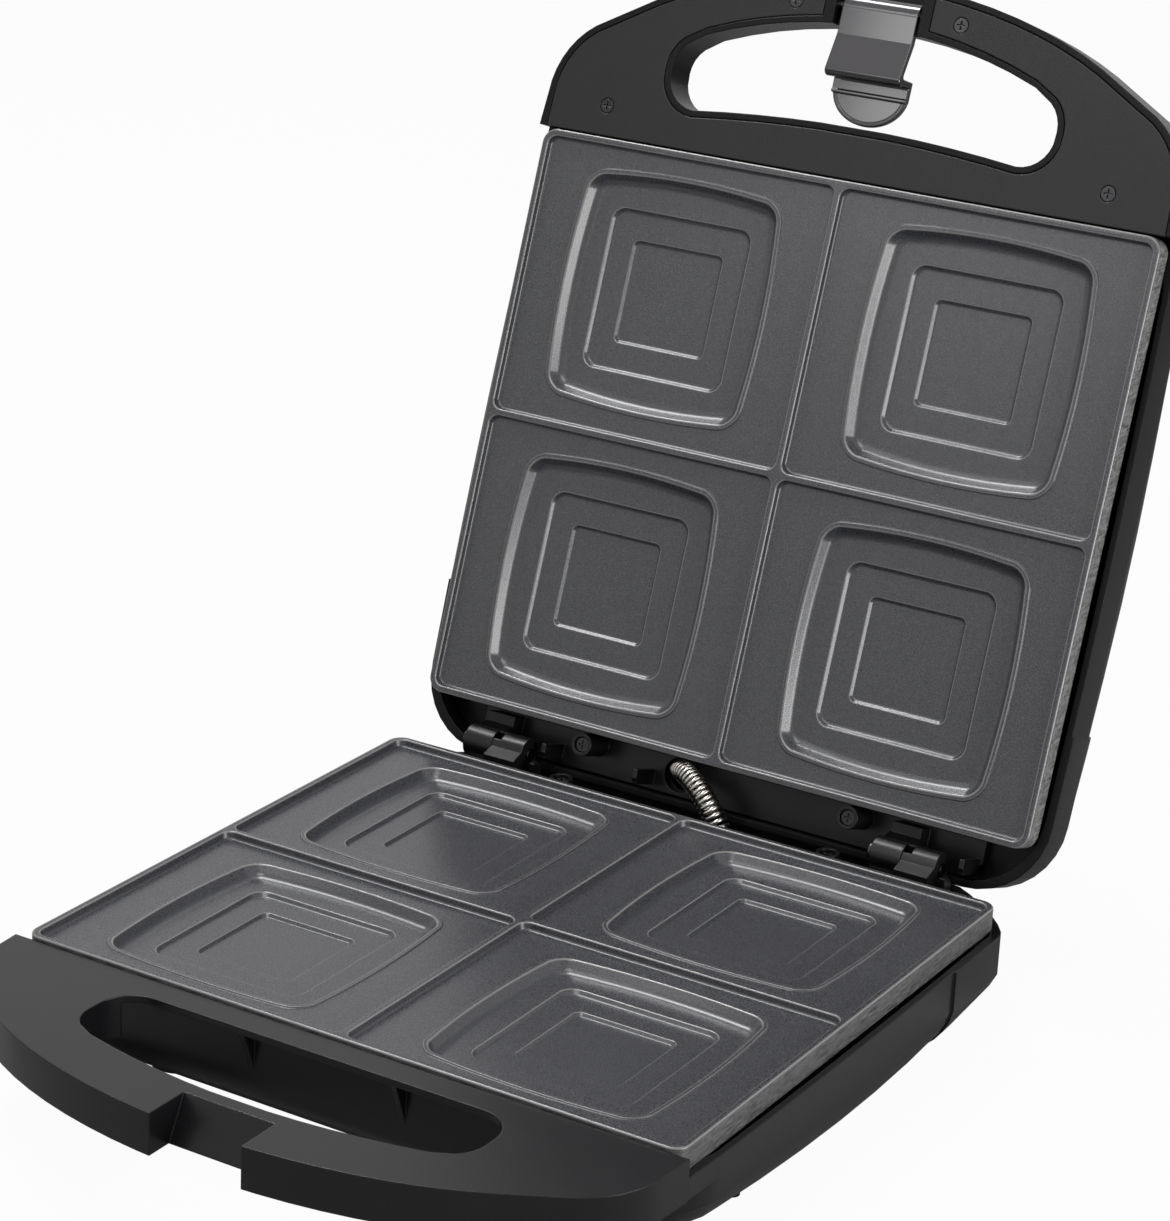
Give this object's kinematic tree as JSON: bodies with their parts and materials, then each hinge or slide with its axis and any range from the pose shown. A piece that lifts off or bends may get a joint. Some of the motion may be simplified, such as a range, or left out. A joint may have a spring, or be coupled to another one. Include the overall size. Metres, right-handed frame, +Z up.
{
  "type": "sandwich toaster",
  "caption": "Hinged countertop sandwich toaster with moulded cooking plates, a grip handle on each half and a swinging front latch, shown open.",
  "frame": {"origin": "centre of the open toaster's bounding box, at the floor under its feet", "axes": "+X to the right across the plates, +Y from the handles towards the hinge, +Z up"},
  "size_m": [0.2748, 0.4372, 0.3536],
  "materials": {
    "housing": "satin black moulded plastic",
    "cover": "satin to glossy black moulded plastic",
    "plate": "die-cast aluminium with a dark non-stick coating",
    "latch": "glossy dark grey moulded plastic",
    "hinge": "satin dark grey moulded plastic",
    "screw": "zinc-plated steel",
    "dark_screw": "blackened steel",
    "pin": "ground steel",
    "spring": "bright spring steel, close wound",
    "element": "steel-sheathed heating tube",
    "sheet": "aluminised sheet",
    "rubber": "matt black rubber",
    "ceramic": "off-white ceramic and phenolic",
    "brass": "plain brass",
    "red_lens": "clear red plastic",
    "green_lens": "clear green plastic",
    "lamp": "small neon lamp"
  },
  "bodies": {
    "base": {"base_housing": "housing", "bottom_cover": "housing", "bottom_cover_screws": "screw", "feet": "rubber", "feet_screws": "screw", "base_plate": "plate", "base_element": "element", "base_element_bar": "sheet", "base_inner_screws": "screw", "base_reflector": "sheet", "base_plate_screws": "screw", "base_hinge_rail": "hinge", "base_rail_screws": "dark_screw", "thermal_fuse": "ceramic", "fuse_clip": "sheet", "terminal_block": "ceramic", "terminal_screws": "brass", "hinge_pins": "pin", "wiring_conduit": "spring"},
    "lid": {"lid_housing": "housing", "handle_cover": "cover", "handle_cover_screws": "dark_screw", "lid_plate": "plate", "lid_element": "element", "lid_element_bar": "sheet", "lid_inner_screws": "screw", "lid_reflector": "sheet", "lid_plate_screws": "screw", "lid_hinge_rail": "hinge", "lid_rail_screws": "dark_screw", "thermostat": "ceramic", "power_lens": "red_lens", "ready_lens": "green_lens", "neon_lamps": "lamp", "latch_pin": "pin"},
    "latch": {"latch": "latch"}
  },
  "joints": [
    {"name": "lid_hinge", "type": "hinge", "parent": "base", "child": "lid", "pos_m": [0, 0.10071, 0.0516], "axis": [1, 0, 0], "range_deg": [0, 108.6], "deforming": ["wiring_conduit"]},
    {"name": "latch_pivot", "type": "hinge", "parent": "lid", "child": "latch", "pos_m": [0, 0.20691, 0.34178], "axis": [1, 0, 0], "range_deg": [-120, 0]}
  ]
}
